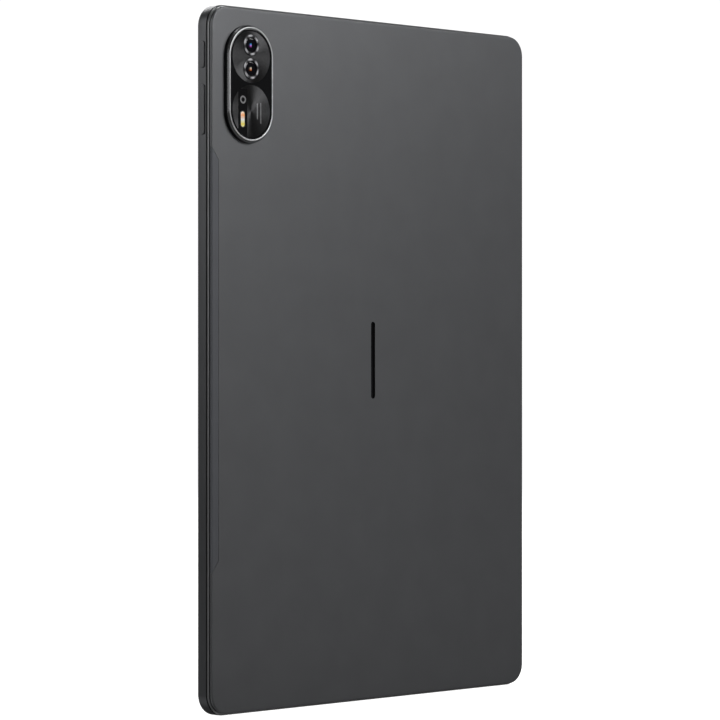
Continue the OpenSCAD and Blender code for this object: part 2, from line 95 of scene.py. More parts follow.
AXIS_R = 0.01                 # stands for radius 0 in turned profiles

# --------------------------------------------------------------- mesh helpers


def smooth(obj):
    """Smooths all but sharp edges."""
    obj.data.polygons.foreach_set("use_smooth", [True] * len(obj.data.polygons))
    obj.data.set_sharp_from_angle(angle=math.radians(32))
    return obj


def finish_mesh(obj):
    """Merges doubled points, points the faces outwards and smooths all but sharp edges."""
    bm = bmesh.new()
    bm.from_mesh(obj.data)
    bmesh.ops.remove_doubles(bm, verts=bm.verts, dist=WELD)
    bmesh.ops.dissolve_degenerate(bm, edges=bm.edges, dist=WELD)
    bmesh.ops.recalc_face_normals(bm, faces=bm.faces)
    bm.to_mesh(obj.data)
    bm.free()
    return smooth(obj)


def make(name, verts_mm, faces):
    mesh = bpy.data.meshes.new(name)
    mesh.from_pydata([tuple(c * MM for c in v) for v in verts_mm], [], faces)
    obj = bpy.data.objects.new(name, mesh)
    scene.collection.objects.link(obj)
    return finish_mesh(obj)


def loft(name, rings, closed=False):
    """Skins rings of points that match one to one. Open lofts get a cap at each end."""
    n = len(rings[0])
    verts = [p for ring in rings for p in ring]
    faces = []
    for k in range(len(rings) if closed else len(rings) - 1):
        a, b = k * n, (k + 1) % len(rings) * n
        faces += [(a + i, a + (i + 1) % n, b + (i + 1) % n, b + i) for i in range(n)]
    if not closed:
        faces += [tuple(range(n)), tuple(range((len(rings) - 1) * n, len(rings) * n))]
    return make(name, verts, faces)


def rounded(w, h, r, steps=ARC):
    """A rectangle with round corners, anticlockwise."""
    pts = []
    for k, (sx, sz) in enumerate(((1, 1), (-1, 1), (-1, -1), (1, -1))):
        for i in range(steps + 1):
            a = math.radians(90 * (k + i / steps))
            pts.append((sx * (w / 2 - r) + r * math.cos(a), sz * (h / 2 - r) + r * math.sin(a)))
    return pts


def outline(inset):
    return rounded(2 * (EDGE_X - inset), 2 * (EDGE_Z - inset), CORNER_R - inset)


def pill(r, half, steps=24):
    return rounded(2 * r, 2 * (half + r), r, steps)


def flat(points, y, at=(0.0, 0.0)):
    """Points drawn across and up, set at a height y."""
    return [(x + at[0], y, z + at[1]) for x, z in points]


def in_wall(points, x, y, z):
    """Points drawn across and along, set in a side wall that faces X."""
    return [(x, y + a, z + b) for a, b in points]


def in_end(points, z, x, y):
    """Points drawn across and along, set in an end wall that faces Z."""
    return [(x + b, y + a, z) for a, b in points]


def quarter(steps):
    """Angles from 0 to a quarter turn, both ends included."""
    return [math.pi / 2 * i / steps for i in range(steps + 1)]


def turns(steps):
    """Angles round a full turn, without the last one."""
    return [2 * math.pi * i / steps for i in range(steps)]


def circle(r, steps=20):
    return [(r * math.cos(a), r * math.sin(a)) for a in turns(steps)]


def round_edge(a, b, steps):
    """A quarter ellipse from (0, b) to (a, 0), for soft edges."""
    return [(a * (1 - math.cos(t)), b * (1 - math.sin(t))) for t in quarter(steps)]


def sweep(name, section):
    """A closed section of (inset, y) points, carried round the body's outline."""
    return loft(name, [flat(outline(i), y) for i, y in section], closed=True)


def island_sweep(name, section):
    """A closed section of (radius, y) points, carried round the island's pill."""
    at = (ISLAND.x, ISLAND.z)
    return loft(name, [flat(pill(r, ISLAND_HALF, 36), y, at) for r, y in section], closed=True)


def lathe(name, profile, at, closed=True):
    """A profile of (radius, y) points turned about an axis along Y."""
    rings = [[(at.x + r * math.cos(t), y, at.z + r * math.sin(t)) for t in turns(FINE)]
             for r, y in profile]
    return loft(name, rings, closed)


def block(name, lo, hi):
    """A box between two corners."""
    (x0, y0, z0), (x1, y1, z1) = lo, hi
    return loft(name, [[(x0, y, z0), (x1, y, z0), (x1, y, z1), (x0, y, z1)] for y in (y0, y1)])


def joined(name, parts):
    """Several objects made one."""
    bm = bmesh.new()
    for part in parts:
        bm.from_mesh(part.data)
        bpy.data.objects.remove(part)
    mesh = bpy.data.meshes.new(name)
    bm.to_mesh(mesh)
    bm.free()
    obj = bpy.data.objects.new(name, mesh)
    scene.collection.objects.link(obj)
    return smooth(obj)


def apply_modifiers(obj):
    graph = bpy.context.evaluated_depsgraph_get()
    mesh = bpy.data.meshes.new_from_object(obj.evaluated_get(graph))
    obj.modifiers.clear()
    obj.data = mesh


def cut(obj, cutter, operation="DIFFERENCE"):
    """Cuts obj with a closed solid, which is used up."""
    mod = obj.modifiers.new("cut", "BOOLEAN")
    mod.object, mod.operation, mod.solver = cutter, operation, "EXACT"
    bpy.context.view_layer.update()
    apply_modifiers(obj)
    bpy.data.objects.remove(cutter)
    finish_mesh(obj)


def soften(obj, width, segments=2, angle=35.0):
    """Rounds the sharp edges by a width in millimetres."""
    mod = obj.modifiers.new("soften", "BEVEL")
    mod.width, mod.segments = width * MM, segments
    mod.limit_method, mod.angle_limit = "ANGLE", math.radians(angle)
    mod.use_clamp_overlap, mod.harden_normals = True, True
    return obj


# ------------------------------------------------------------------ materials


class Finish:
    """A material with one Principled shader and short calls to build its nodes."""

    def __init__(self, name, color, rough, metallic=0.0, **sockets):
        self.mat = bpy.data.materials.new(name)
        self.mat.use_nodes = True
        self.tree = self.mat.node_tree
        self.bsdf = self.tree.nodes["Principled BSDF"]
        self.color, self.rough = color, rough
        self.set("Base Color", (*color, 1))
        self.set("Roughness", rough)
        self.set("Metallic", metallic)
        for key, value in sockets.items():
            self.set(key.replace("_", " "), value)
        self.place = self.add("ShaderNodeTexCoord").outputs["Object"]

    def set(self, socket, value):
        self.bsdf.inputs[socket].default_value = value

    def add(self, kind, **props):
        node = self.tree.nodes.new(kind)
        for key, value in props.items():
            setattr(node, key, value)
        return node

    def link(self, a, b):
        self.tree.links.new(a, b)

    def math(self, op, a, b=0.0, c=0.0, clamp=False):
        node = self.add("ShaderNodeMath", operation=op, use_clamp=clamp)
        for socket, value in zip(node.inputs, (a, b, c)):
            if isinstance(value, (int, float)):
                socket.default_value = value
            else:
                self.link(value, socket)
        return node.outputs[0]

    def position(self):
        """The X, Y and Z of the shaded point."""
        xyz = self.add("ShaderNodeSeparateXYZ")
        self.link(self.place, xyz.inputs[0])
        return xyz.outputs

    def noise(self, size_mm, detail=3.0, stretch=(1, 1, 1)):
        """Noise with features of about size_mm, stretched along an axis by dividing its scale."""
        mapping = self.add("ShaderNodeMapping")
        mapping.inputs["Scale"].default_value = [1 / (size_mm * MM * s) for s in stretch]
        self.link(self.place, mapping.inputs["Vector"])
        node = self.add("ShaderNodeTexNoise")
        node.inputs["Scale"].default_value = 1.0
        node.inputs["Detail"].default_value = detail
        self.link(mapping.outputs[0], node.inputs["Vector"])
        return node.outputs["Fac"]

    def spread(self, value, low, high):
        """Maps 0.3 to 0.7, where noise mostly lies, to a range."""
        node = self.add("ShaderNodeMapRange")
        for key, number in (("From Min", 0.3), ("From Max", 0.7), ("To Min", low), ("To Max", high)):
            node.inputs[key].default_value = number
        self.link(value, node.inputs["Value"])
        return node.outputs["Result"]

    def mix(self, factor, a, b):
        """A colour between a and b; each is a colour or a socket."""
        node = self.add("ShaderNodeMix", data_type="RGBA")
        for socket, value in ((node.inputs[6], a), (node.inputs[7], b)):
            if isinstance(value, tuple):
                socket.default_value = (*value, 1)
            else:
                self.link(value, socket)
        if isinstance(factor, float):
            node.inputs[0].default_value = factor
        else:
            self.link(factor, node.inputs[0])
        return node.outputs[2]

    def tint(self, value, amount):
        """Lightens and darkens the base colour by a share of itself."""
        low, high = (tuple(c * k for c in self.color) for k in (1 - amount, 1 + amount))
        self.link(self.mix(self.spread(value, 0, 1), low, high), self.bsdf.inputs["Base Color"])

    def vary_rough(self, value, amount):
        low, high = max(self.rough - amount, 0.0), min(self.rough + amount, 1.0)
        self.link(self.spread(value, low, high), self.bsdf.inputs["Roughness"])

    def bump(self, value, height_mm, strength=1.0):
        node = self.add("ShaderNodeBump")
        node.inputs["Distance"].default_value = height_mm * MM
        node.inputs["Strength"].default_value = strength
        self.link(value, node.inputs["Height"])
        self.link(node.outputs[0], self.bsdf.inputs["Normal"])
        return node


def blasted_finish(name, color, rough, grain=0.09, height=0.003, metallic=1.0):
    """Bead-blasted, anodised or painted metal: a fine even grain with faint cloudiness."""
    f = Finish(name, color, rough, metallic)
    f.tint(f.noise(14, 4), 0.035)
    f.vary_rough(f.noise(0.5, 3), 0.03)
    f.bump(f.noise(grain, 2), height)
    return f


def blasted(*args, **options):
    return blasted_finish(*args, **options).mat


def banded(f, low, high, inside, outside=1.0):
    """A factor that is inside between two heights y in mm, with soft ends, and outside elsewhere."""
    xyz = f.position()
    soft = 0.08 * MM
    above = f.math("MULTIPLY_ADD", xyz["Y"], 1 / soft, -low * MM / soft, clamp=True)
    below = f.math("MULTIPLY_ADD", xyz["Y"], -1 / soft, high * MM / soft, clamp=True)
    return f.math("MULTIPLY_ADD", f.math("MULTIPLY", above, below), inside - outside, outside)


def scale_color(f, factor):
    """Multiplies the base colour, textured as it is, by a factor."""
    socket = f.bsdf.inputs["Base Color"]
    node = f.add("ShaderNodeVectorMath", operation="SCALE")
    f.link(socket.links[0].from_socket, node.inputs[0])
    f.link(factor, node.inputs["Scale"])
    f.link(node.outputs[0], socket)


def rim_highlight_finish(name, color, rough, highlight_gain, metallic=1.0):
    """A blasted cover finish with a painted highlight: its rounded rim is painted brighter."""
    f = blasted_finish(name, color, rough, metallic=metallic)
    # Painted highlight: the base colour is raised along the rounded rim, from 0.85 to 0.02 mm below the
    # face.
    scale_color(f, banded(f, -0.85, -0.02, highlight_gain))
    return f.mat


def frame_finish():
    """The frame's blasted finish, with painted shade: nearly black in the groove under the bright ring.
    """
    f = blasted_finish("frame_metal", FRAME_GREY, FRAME_ROUGH, metallic=ANODISED)
    # Painted shade: the faces in the groove, above the wall, get 6 % of the base colour.
    scale_color(f, banded(f, FLAT_START - 0.04, 0, 0.06))
    return f.mat


def key_finish():
    """The keys' blasted finish, with each cap's rounded rim painted brighter as a highlight and its side
    painted darker as shade.
    """
    f = blasted_finish("key_metal", FRAME_GREY, FRAME_ROUGH, metallic=ANODISED)
    xyz = f.position()
    top = box_mm("power_key")[1].x
    # Painted highlight on each cap's rounded rim and painted shade on its side.
    rim_highlight_level, side_shade_level = 1.9, 0.35
    below_face = f.math("LESS_THAN", xyz["X"], (top - 0.02) * MM)
    below_rim = f.math("LESS_THAN", xyz["X"], (top - 0.15) * MM)
    level = f.math("MULTIPLY_ADD", below_face, rim_highlight_level - 1, 1.0)
    scale_color(f, f.math("MULTIPLY_ADD", below_rim, side_shade_level - rim_highlight_level, level))
    return f.mat


def brushed_finish(name, color, rough, along=(1, 1, 30), size=0.05, height=0.0015):
    """Metal with fine parallel scratches."""
    f = Finish(name, color, rough, 1.0)
    lines = f.noise(size, 3, along)
    f.tint(lines, 0.10)
    f.vary_rough(f.noise(size * 2, 3, along), 0.05)
    f.bump(lines, height)
    return f


def brushed(*args, **options):
    return brushed_finish(*args, **options).mat


def chamfer_finish():
    """The bright bevel, with painted shade along its foot beside the groove and a painted highlight along
    its crest.
    """
    f = brushed_finish("chamfer_metal", (0.52, 0.53, 0.54), 0.34)
    # Painted shade and highlight: the base colour is scaled by 0.5 along the foot and by 1.35 elsewhere.
    scale_color(f, banded(f, RING_LO - 0.1, RING_LO + 0.26, 0.50, 1.35))
    return f.mat


def two_tone_bezel(name, color, wall_rough, lip_rough):
    """Brushed metal whose sloping wall is polished and whose flat lip is satin."""
    lip_depth = 0.07
    f = Finish(name, color, wall_rough, 1.0)
    lines = f.noise(0.05, 3, (1, 1, 30))
    f.tint(lines, 0.10)
    xyz = f.position()
    on_lip = f.math("GREATER_THAN", xyz["Y"], (ISLAND_TOP - lip_depth) * MM)
    rough = f.math("MULTIPLY_ADD", on_lip, lip_rough - wall_rough, wall_rough)
    f.link(rough, f.bsdf.inputs["Roughness"])
    f.bump(lines, 0.0006)
    return f.mat


def moulded(name, color, rough, grain=0.15, height=0.004, **sockets):
    """Moulded plastic or rubber with a spark-eroded texture."""
    f = Finish(name, color, rough, 0.0, **sockets)
    f.tint(f.noise(3, 4), 0.12)
    f.vary_rough(f.noise(0.6, 3), 0.06)
    f.bump(f.noise(grain, 3), height)
    return f.mat


def smooth_gloss(name, color, rough=0.04, **sockets):
    """Polished glass or lacquer, with faint smears in its gloss."""
    f = Finish(name, color, rough, 0.0, **sockets)
    f.tint(f.noise(20, 3), 0.06)
    f.vary_rough(f.noise(9, 5), 0.02)
    f.bump(f.noise(6, 2), 0.0006)
    return f.mat


def turned(name, dark, bright, rough, at):
    """Dark metal turned on a lathe, with bright arcs in a band round it: painted highlights standing in
    for the lamps' reflections.
    """
    arcs, first = 6, math.radians(20)
    middle_r, band, ring_mm = 3.32, 0.75, 0.09
    f = Finish(name, bright, rough, 1.0)
    radius, tangent = polar(f, at)
    rings = f.math("SINE", f.math("MULTIPLY", radius, 2 * math.pi / (ring_mm * MM)))
    along = f.add("ShaderNodeSeparateXYZ")
    f.link(tangent, along.inputs[0])
    angle = f.math("ARCTAN2", f.math("MULTIPLY", along.outputs["X"], -1), along.outputs["Z"])
    # Painted highlights: six bright arcs round the band, where the lamps would be reflected.
    wave = f.math("COSINE", f.math("MULTIPLY_ADD", angle, arcs, -arcs * first))
    shade = f.math("MULTIPLY_ADD", rings, 0.05, f.math("MULTIPLY_ADD", wave, 0.22, 0.50))
    off = f.math("ABSOLUTE", f.math("MULTIPLY_ADD", radius, 1 / (band / 2 * MM), -2 * middle_r / band))
    in_band = f.math("MULTIPLY", f.math("SUBTRACT", 1.35, off), 1.8, clamp=True)
    glint_mask = f.math("MULTIPLY", f.spread(shade, 0, 1), in_band)
    f.link(f.mix(glint_mask, dark, bright), f.bsdf.inputs["Base Color"])
    f.bump(rings, 0.0008)
    return f.mat


def polar(f, at):
    """The distance from an axis along Y through at, and the direction round it."""
    offset = f.add("ShaderNodeVectorMath", operation="SUBTRACT")
    offset.inputs[1].default_value = (at.x * MM, 0, at.z * MM)
    f.link(f.place, offset.inputs[0])
    flatten = f.add("ShaderNodeVectorMath", operation="MULTIPLY")
    flatten.inputs[1].default_value = (1, 0, 1)
    f.link(offset.outputs[0], flatten.inputs[0])
    length = f.add("ShaderNodeVectorMath", operation="LENGTH")
    f.link(flatten.outputs[0], length.inputs[0])
    cross = f.add("ShaderNodeVectorMath", operation="CROSS_PRODUCT")
    cross.inputs[1].default_value = (0, 1, 0)
    f.link(flatten.outputs[0], cross.inputs[0])
    unit = f.add("ShaderNodeVectorMath", operation="NORMALIZE")
    f.link(cross.outputs[0], unit.inputs[0])
    return length.outputs["Value"], unit.outputs[0]


def circuit_board(name, color):
    """Solder mask over a grid of copper tracks."""
    f = Finish(name, color, 0.35, 0.0, Coat_Weight=0.4)
    bricks = f.add("ShaderNodeTexBrick")
    for key, value in (("Scale", 1.0), ("Mortar Size", 0.00006), ("Mortar Smooth", 0.3),
                       ("Brick Width", 0.0026), ("Row Height", 0.0007)):
        bricks.inputs[key].default_value = value
    swap = f.add("ShaderNodeMapping")
    swap.inputs["Rotation"].default_value = (math.pi / 2, 0, 0)
    f.link(f.place, swap.inputs["Vector"])
    f.link(swap.outputs[0], bricks.inputs["Vector"])
    light = tuple(c * 1.9 for c in color)
    tracks = f.mix(bricks.outputs["Fac"], color, light)
    patches = f.mix(f.spread(f.noise(2.5, 2), 0, 1), tracks, tuple(c * 0.8 for c in color))
    f.link(patches, f.bsdf.inputs["Base Color"])
    f.bump(bricks.outputs["Fac"], 0.02)
    return f.mat


def printed_flex(name, color):
    """Amber film with darker copper lines along it."""
    f = Finish(name, color, 0.3, 0.0, Coat_Weight=0.5)
    wave = f.add("ShaderNodeTexWave", wave_type="BANDS", bands_direction="X")
    wave.inputs["Scale"].default_value = 1 / (2 * MM)
    wave.inputs["Distortion"].default_value = 0.4
    f.link(f.place, wave.inputs["Vector"])
    dark = tuple(c * 0.45 for c in color)
    f.link(f.mix(wave.outputs["Fac"], color, dark), f.bsdf.inputs["Base Color"])
    f.bump(wave.outputs["Fac"], 0.01)
    return f.mat


def printed_marks(f, xyz):
    """A plain ring and two plain bars in light ink, as a mask."""
    def between(value, low, high):
        over, under = f.math("GREATER_THAN", value, low * MM), f.math("LESS_THAN", value, high * MM)
        return f.math("MULTIPLY", over, under)

    x, z, outer, inner = DOT
    distance, _ = polar(f, Vector((ISLAND.x + x, 0, ISLAND.z + z)))
    marks = between(distance, inner, outer)
    for x, half, low, high in BARS:
        across = between(xyz["X"], ISLAND.x + x - half, ISLAND.x + x + half)
        along = between(xyz["Z"], ISLAND.z + low, ISLAND.z + high)
        marks = f.math("MAXIMUM", marks, f.math("MULTIPLY", across, along))
    return marks


def island_window_finish():
    """Black glass over two discs of circular brushing, with a black stripe behind the flash."""
    groove_mm, black = 0.16, (0.008, 0.008, 0.009)
    f = Finish("island_window", black, 0.32, 0.0, Coat_Weight=1.0, Anisotropic=0.9)
    f.set("Coat Roughness", 0.02)
    f.set("Specular IOR Level", 0.25)
    xyz = f.position()
    (upper_r, upper_tangent), (lower_r, lower_tangent) = (
        polar(f, Vector((ISLAND.x, 0, ISLAND.z + side * ISLAND_HALF))) for side in (1, -1))
    upper = f.math("GREATER_THAN", xyz["Z"], ISLAND.z * MM)
    pick = f.add("ShaderNodeMix", data_type="VECTOR")
    f.link(upper, pick.inputs[0])
    f.link(lower_tangent, pick.inputs[4])
    f.link(upper_tangent, pick.inputs[5])
    f.link(pick.outputs[1], f.bsdf.inputs["Tangent"])
    distance = f.math("MINIMUM", upper_r, lower_r)
    disc = f.math("LESS_THAN", distance, DISC_R * MM)
    off = f.math("ABSOLUTE", f.math("SUBTRACT", xyz["X"], FLASH.x * MM))
    stripe = f.math("LESS_THAN", off, STRIPE_W / 2 * MM)
    low = f.math("LESS_THAN", xyz["Z"], (ISLAND.z - 2) * MM)
    disc = f.math("SUBTRACT", disc, f.math("MULTIPLY", stripe, low))
    disc = f.math("MAXIMUM", disc, 0.0)
    rings = f.math("SINE", f.math("MULTIPLY", distance, 2 * math.pi / (groove_mm * MM)))
    fine = f.spread(f.noise(0.3, 2), 0.75, 1.25)
    shade = f.math("MULTIPLY", fine, f.math("MULTIPLY_ADD", rings, 0.15, 1.0))
    metal = f.mix(f.math("MULTIPLY", shade, 0.5), (0.012, 0.012, 0.0125), (0.098, 0.098, 0.101))
    f.link(f.math("MULTIPLY_ADD", disc, 0.26, 0.05), f.bsdf.inputs["Roughness"])
    inked = f.mix(disc, black, metal)
    marks = printed_marks(f, xyz)
    f.link(f.mix(marks, inked, (0.30, 0.30, 0.31)), f.bsdf.inputs["Base Color"])
    f.link(f.math("MULTIPLY", disc, f.math("SUBTRACT", 1.0, marks)), f.bsdf.inputs["Metallic"])
    f.bump(f.math("MULTIPLY", rings, disc), 0.0006)
    return f.mat


def flash_finish():
    """Frosted lens over a warm and a cool phosphor patch, with a dark rim, made to glow faintly as
    painted light.
    """
    clear_share, ridge_mm = 0.76, 0.42
    f = Finish("flash_lens", (1, 0.9, 0.7), 0.35, 0.0, Coat_Weight=0.6)
    xyz = f.position()
    lo, hi = box_mm("flash_lens")
    along = f.add("ShaderNodeMapRange")
    along.inputs["From Min"].default_value = lo.z * MM
    along.inputs["From Max"].default_value = hi.z * MM
    f.link(xyz["Z"], along.inputs["Value"])
    ramp = f.add("ShaderNodeValToRGB")
    stops = ((0.0, (0.95, 0.93, 0.60)), (0.22, (1.0, 0.83, 0.06)), (0.48, (1.0, 0.98, 0.95)),
             (0.74, (1.0, 0.36, 0.06)), (0.98, (1.0, 0.80, 0.55)))
    for k, (place, color) in enumerate(stops):
        stop = ramp.color_ramp.elements[k] if k < 2 else ramp.color_ramp.elements.new(place)
        stop.position, stop.color = place, (*color, 1)
    f.link(along.outputs[0], ramp.inputs[0])
    r = (hi.x - lo.x) / 2
    across = f.math("SUBTRACT", xyz["X"], FLASH.x * MM)
    beyond = f.math("ABSOLUTE", f.math("SUBTRACT", xyz["Z"], FLASH.z * MM))
    beyond = f.math("MAXIMUM", f.math("SUBTRACT", beyond, ((hi.z - lo.z) / 2 - r) * MM), 0.0)
    reach = f.math("MULTIPLY_ADD", across, across, f.math("MULTIPLY", beyond, beyond))
    rim = f.math("GREATER_THAN", reach, (clear_share * r * MM) ** 2)
    tone = f.mix(rim, ramp.outputs[0], (0.02, 0.02, 0.02))
    f.link(tone, f.bsdf.inputs["Base Color"])
    # Painted light: the lens glows faintly in its own colours.
    f.link(tone, f.bsdf.inputs["Emission Color"])
    f.set("Emission Strength", 0.12)
    ridges = f.math("SINE", f.math("MULTIPLY", xyz["Z"], 2 * math.pi / (ridge_mm * MM)))
    f.bump(ridges, 0.02)
    return f.mat


def screen_finish():
    """Black-bordered cover glass with the dark blue panel showing through it."""
    f = Finish("screen_glass", (0.004, 0.004, 0.005), 0.035, 0.0, Coat_Weight=0.3)
    lo, hi = box_mm("lcd_panel")
    xyz = f.position()
    inside = 1.0
    for axis, half in (("X", (hi.x - lo.x) / 2 - 1.4), ("Z", (hi.z - lo.z) / 2 - 1.7)):
        span = f.math("ABSOLUTE", xyz[axis])
        inside = f.math("MULTIPLY", f.math("LESS_THAN", span, half * MM), inside)
    cells = f.mix(f.spread(f.noise(30, 2), 0, 1), (0.010, 0.011, 0.014), (0.013, 0.014, 0.018))
    face = f.mix(inside, (0.003, 0.003, 0.003), cells)
    windows = (("front_camera", 1.7, (0.014, 0.014, 0.017)), ("front_camera", 0.95, (0.015, 0.022, 0.06)),
               ("light_sensor", 0.8, (0.010, 0.008, 0.012)))
    for node, radius, color in windows:
        reach, _ = polar(f, middle(node))
        face = f.mix(f.math("LESS_THAN", reach, radius * MM), face, color)
    f.link(face, f.bsdf.inputs["Base Color"])
    f.vary_rough(f.noise(12, 5), 0.015)
    return f.mat


def lens_glint(name, at, high, low):
    """Dark lens glass with a painted glint in two colours, one above the other, that glows: it stands in
    for the coating's reflection.
    """
    black = (0.003, 0.003, 0.004)
    f = Finish(name, black, 0.03, 0.0, Alpha=0.75)
    xyz = f.position()
    half_w, half_h = 0.36 * MM, 0.85 * MM
    across = f.math("MULTIPLY_ADD", xyz["X"], 1 / half_w, -at.x * MM / half_w)
    up = f.math("MULTIPLY_ADD", xyz["Z"], 1 / half_h, -at.z * MM / half_h)
    reach = f.math("MULTIPLY_ADD", across, across, f.math("MULTIPLY", up, up))
    glow = f.math("MAXIMUM", f.math("SUBTRACT", 1.0, reach), 0.0)
    tone = f.mix(f.spread(f.math("MULTIPLY_ADD", up, 0.6, 0.5), 0, 1), low, high)
    # Painted glint: a two-coloured spot in the lens's middle, put in the base colour and made to glow.
    patch = f.mix(glow, black, tone)
    f.link(patch, f.bsdf.inputs["Base Color"])
    f.link(patch, f.bsdf.inputs["Emission Color"])
    f.set("Emission Strength", 0.8)
    f.vary_rough(f.noise(2, 3), 0.01)
    return f.mat


DISC_R = 9.4                  # brushed discs printed under the island's window
STRIPE_W = 4.5                # black stripe behind the flash
# Plain printed bars beside the flash: offset from the island's middle, half width, low and high end.
BARS = ((-3.07, 0.26, -12.6, -6.9), (-4.8, 0.20, -14.1, -6.6))
DOT = (4.1, -5.85, 1.45, 0.85)        # plain printed ring: offsets, outer and inner radius
# Colours of each lens's painted glint, high and low.
GLINT_COLOURS = {"upper": ((0.05, 0.45, 1.0), (0.75, 0.15, 0.75)),
            "lower": ((1.0, 0.92, 0.75), (0.85, 0.22, 0.05))}

ANODISED = 0.65  # part metal, part diffuse, the way a blasted and anodised surface looks
COVER_GREY = (0.134, 0.137, 0.143)
FRAME_GREY = (0.155, 0.158, 0.165)
FRAME_ROUGH = 0.40
TURNED_DARK = (0.02, 0.02, 0.021)
# The lens rings' painted highlight colour.
TURNED_GLINT = (0.34, 0.34, 0.355)
MATS = {
    # The cover and the strip carry a painted highlight along their rims.
    "cover_metal": rim_highlight_finish("cover_metal", COVER_GREY, 0.46, 1.9, metallic=ANODISED),
    "frame_metal": frame_finish(),
    "key_metal": key_finish(),
    "strip_plastic": rim_highlight_finish("strip_plastic", (0.115, 0.119, 0.130), 0.60, 2.3, metallic=0.55),
    "chamfer_metal": chamfer_finish(),
    "bezel_metal": two_tone_bezel("bezel_metal", (0.46, 0.465, 0.475), 0.27, 0.38),
    "skirt_black": smooth_gloss("skirt_black", (0.006, 0.006, 0.007), 0.16),
    "emblem_metal": brushed("emblem_metal", (0.02, 0.02, 0.022), 0.22),
    "black_gasket": moulded("black_gasket", (0.008, 0.008, 0.009), 0.65),
    "window_glass": island_window_finish(),
    "flash_plastic": flash_finish(),
    "gold_contact": brushed("gold_contact", (0.75, 0.52, 0.20), 0.28),
    "flex_film": printed_flex("flex_film", (0.32, 0.13, 0.03)),
    "steel": brushed("steel", (0.52, 0.52, 0.54), 0.30),
    "port_plastic": moulded("port_plastic", (0.012, 0.012, 0.013), 0.45),
    "screen_glass": screen_finish(),
    "tape": moulded("tape", (0.02, 0.02, 0.02), 0.5),
    "display_stack": smooth_gloss("display_stack", (0.012, 0.013, 0.02), 0.12),
    "backlight": smooth_gloss("backlight", (0.75, 0.75, 0.74), 0.3),
    "module_black": moulded("module_black", (0.014, 0.014, 0.015), 0.42),
    "plate_metal": brushed("plate_metal", (0.55, 0.56, 0.57), 0.36),
    "cell_pouch": blasted("cell_pouch", (0.42, 0.42, 0.43), 0.38, grain=0.6, height=0.02),
    "board_green": circuit_board("board_green", (0.010, 0.075, 0.030)),
    "chip_black": moulded("chip_black", (0.02, 0.02, 0.021), 0.5),
    "connector_ivory": moulded("connector_ivory", (0.62, 0.58, 0.48), 0.45),
    "graphite": blasted("graphite", (0.05, 0.05, 0.052), 0.45, grain=0.3, metallic=0.6),
}
for side, at in LENSES.items():
    MATS["lens_metal_" + side] = turned("lens_metal_" + side, TURNED_DARK, TURNED_GLINT, 0.45, at)
    MATS["lens_" + side] = lens_glint("lens_" + side, at, *GLINT_COLOURS[side])
MATS["iris"] = smooth_gloss("iris", (0.006, 0.007, 0.012), 0.08)

for node, obj in frame["nodes"].items():
    slot = next(s["material_slot"] for s in frame["record"]["subparts"] if s["node"] == node)
    key = {"lens_metal": "lens_metal_upper", "lens_glass": "lens_upper"}.get(slot, slot)
    obj.data.materials.clear()
    obj.data.materials.append(MATS[key])


def stands_for(obj, *nodes, mat, body="tablet", slot=None):
    """Finishes a piece that takes the place of CAD nodes."""
    obj.data.materials.clear()
    obj.data.materials.append(MATS[mat])
    if nodes:
        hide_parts(*nodes)
    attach(obj, body)
    return obj


# --------------------------------------------------------------------- pieces


